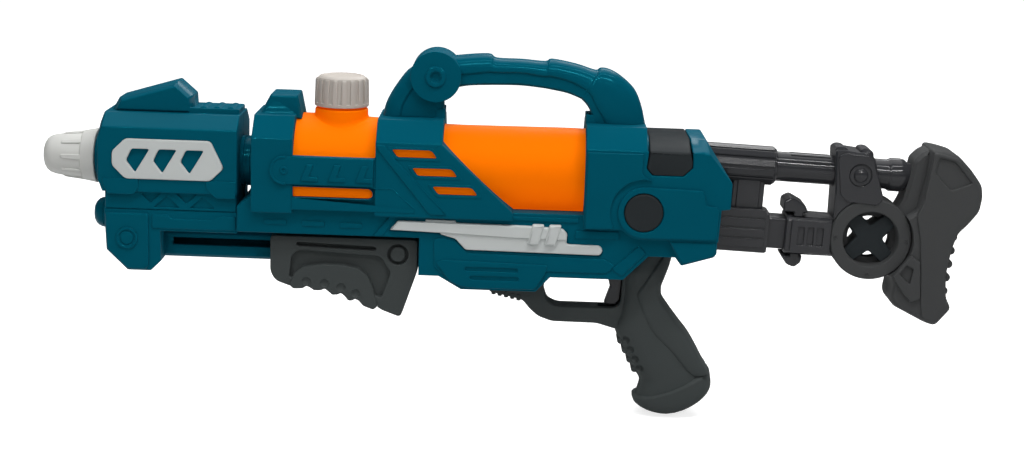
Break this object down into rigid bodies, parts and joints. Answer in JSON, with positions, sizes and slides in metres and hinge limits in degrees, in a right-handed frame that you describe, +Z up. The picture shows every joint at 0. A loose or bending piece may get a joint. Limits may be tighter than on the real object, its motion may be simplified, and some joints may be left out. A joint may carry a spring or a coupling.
{
  "type": "water squirter",
  "caption": "Pump-action toy water squirter with an orange tank and screw cap, sliding fore-grip pump, sprung trigger, top carry handle and pull-out shoulder stock.",
  "frame": {"origin": "where the hand closes on the pistol grip, on the mid-plane", "axes": "+X runs from the nozzle to the shoulder stock, +Y to the right of someone aiming it, +Z up"},
  "size_m": [0.6483, 0.0798, 0.2519],
  "materials": {
    "teal": "gloss",
    "tank_orange": "satin",
    "pale": "satin",
    "dark": "matte",
    "dark_gloss": "gloss",
    "rubber": "matte",
    "hose": "satin",
    "steel": "satin"
  },
  "bodies": {
    "frame": {"barrel": "teal", "body_screw_1": "steel", "body_screw_2": "steel", "body_screw_3": "steel", "body_shell_left": "teal", "body_shell_right": "teal", "cylinder_head": "pale", "feed_tube": "hose", "front_plug": "teal", "front_screw_1": "steel", "front_screw_2": "steel", "front_shell_left": "teal", "front_shell_right": "teal", "grip_left": "dark", "grip_right": "dark", "grip_screw_1": "steel", "handle_left": "teal", "handle_right": "teal", "handle_screw_1": "steel", "line_coupler": "rubber", "outlet_hose": "hose", "pump_cylinder": "pale", "pump_rail": "teal", "rod_guide": "dark", "saddle_cover": "dark", "side_disc_left": "dark", "side_disc_right": "dark", "side_plate_left": "pale", "side_plate_right": "pale", "side_trim_left": "pale", "side_trim_right": "pale", "stock_sleeve": "dark_gloss", "tank": "tank_orange", "trigger_pin": "steel", "trigger_spring": "steel", "valve_body": "pale"},
    "pump": {"pump_grip_left": "dark", "pump_grip_right": "dark", "pump_link": "dark", "pump_rod": "steel", "piston": "pale", "piston_ring": "rubber", "pump_screw_1": "steel"},
    "nozzle_cone": {"nozzle": "pale"},
    "cap_seal": {"cap_gasket": "rubber"},
    "cap": {"tank_cap": "pale"},
    "trigger_lever": {"trigger": "dark_gloss"},
    "valve": {"valve_plunger": "steel"},
    "stock": {"stock_tube_upper": "dark_gloss", "stock_tube_lower": "dark_gloss", "stock_bracket": "dark_gloss", "stock_ring_left": "dark", "stock_ring_right": "dark", "ring_cross": "dark", "butt_left": "dark", "butt_right": "dark", "stock_screw_1": "steel"},
    "tab": {"release_tab": "dark_gloss"}
  },
  "joints": [
    {"name": "pump_slide", "type": "slide", "parent": "frame", "child": "pump", "axis": [-1, 0, 0], "range_m": [0, 0.072]},
    {"name": "nozzle_turn", "type": "hinge", "parent": "frame", "child": "nozzle_cone", "pos_m": [-0.41, 0, 0.113], "axis": [1, 0, 0], "range_deg": [0, 180]},
    {"name": "cap_rise", "type": "slide", "parent": "frame", "child": "cap_seal", "axis": [0, 0, 1], "range_m": [0, 0.0181]},
    {"name": "cap_turn", "type": "hinge", "parent": "cap_seal", "child": "cap", "pos_m": [-0.2296, 0, 0.165], "axis": [0, 0, 1], "range_deg": [0, 1440]},
    {"name": "trigger_pull", "type": "hinge", "parent": "frame", "child": "trigger_lever", "pos_m": [-0.034, 0, 0.0505], "axis": [0, -1, 0], "range_deg": [0, 10], "stiffness_Nm_per_rad": 0.5, "springref_deg": -14.32, "deforming": ["trigger_spring"]},
    {"name": "valve_slide", "type": "slide", "parent": "frame", "child": "valve", "axis": [-1, 0, 0], "range_m": [0, 0.0022]},
    {"name": "stock_slide", "type": "slide", "parent": "frame", "child": "stock", "axis": [0.9993, 0, -0.0384], "range_m": [-0.007, 0.03]},
    {"name": "tab_press", "type": "slide", "parent": "stock", "child": "tab", "axis": [-0.0384, 0, -0.9993], "range_m": [0, 0.002], "stiffness_N_per_m": 900, "springref_m": -0.003}
  ],
  "couplings": [
    {"joint": "valve_slide", "follows": "trigger_pull", "m_per_rad": 0.0115},
    {"joint": "cap_rise", "follows": "cap_turn", "m_per_rad": 0.000716}
  ]
}
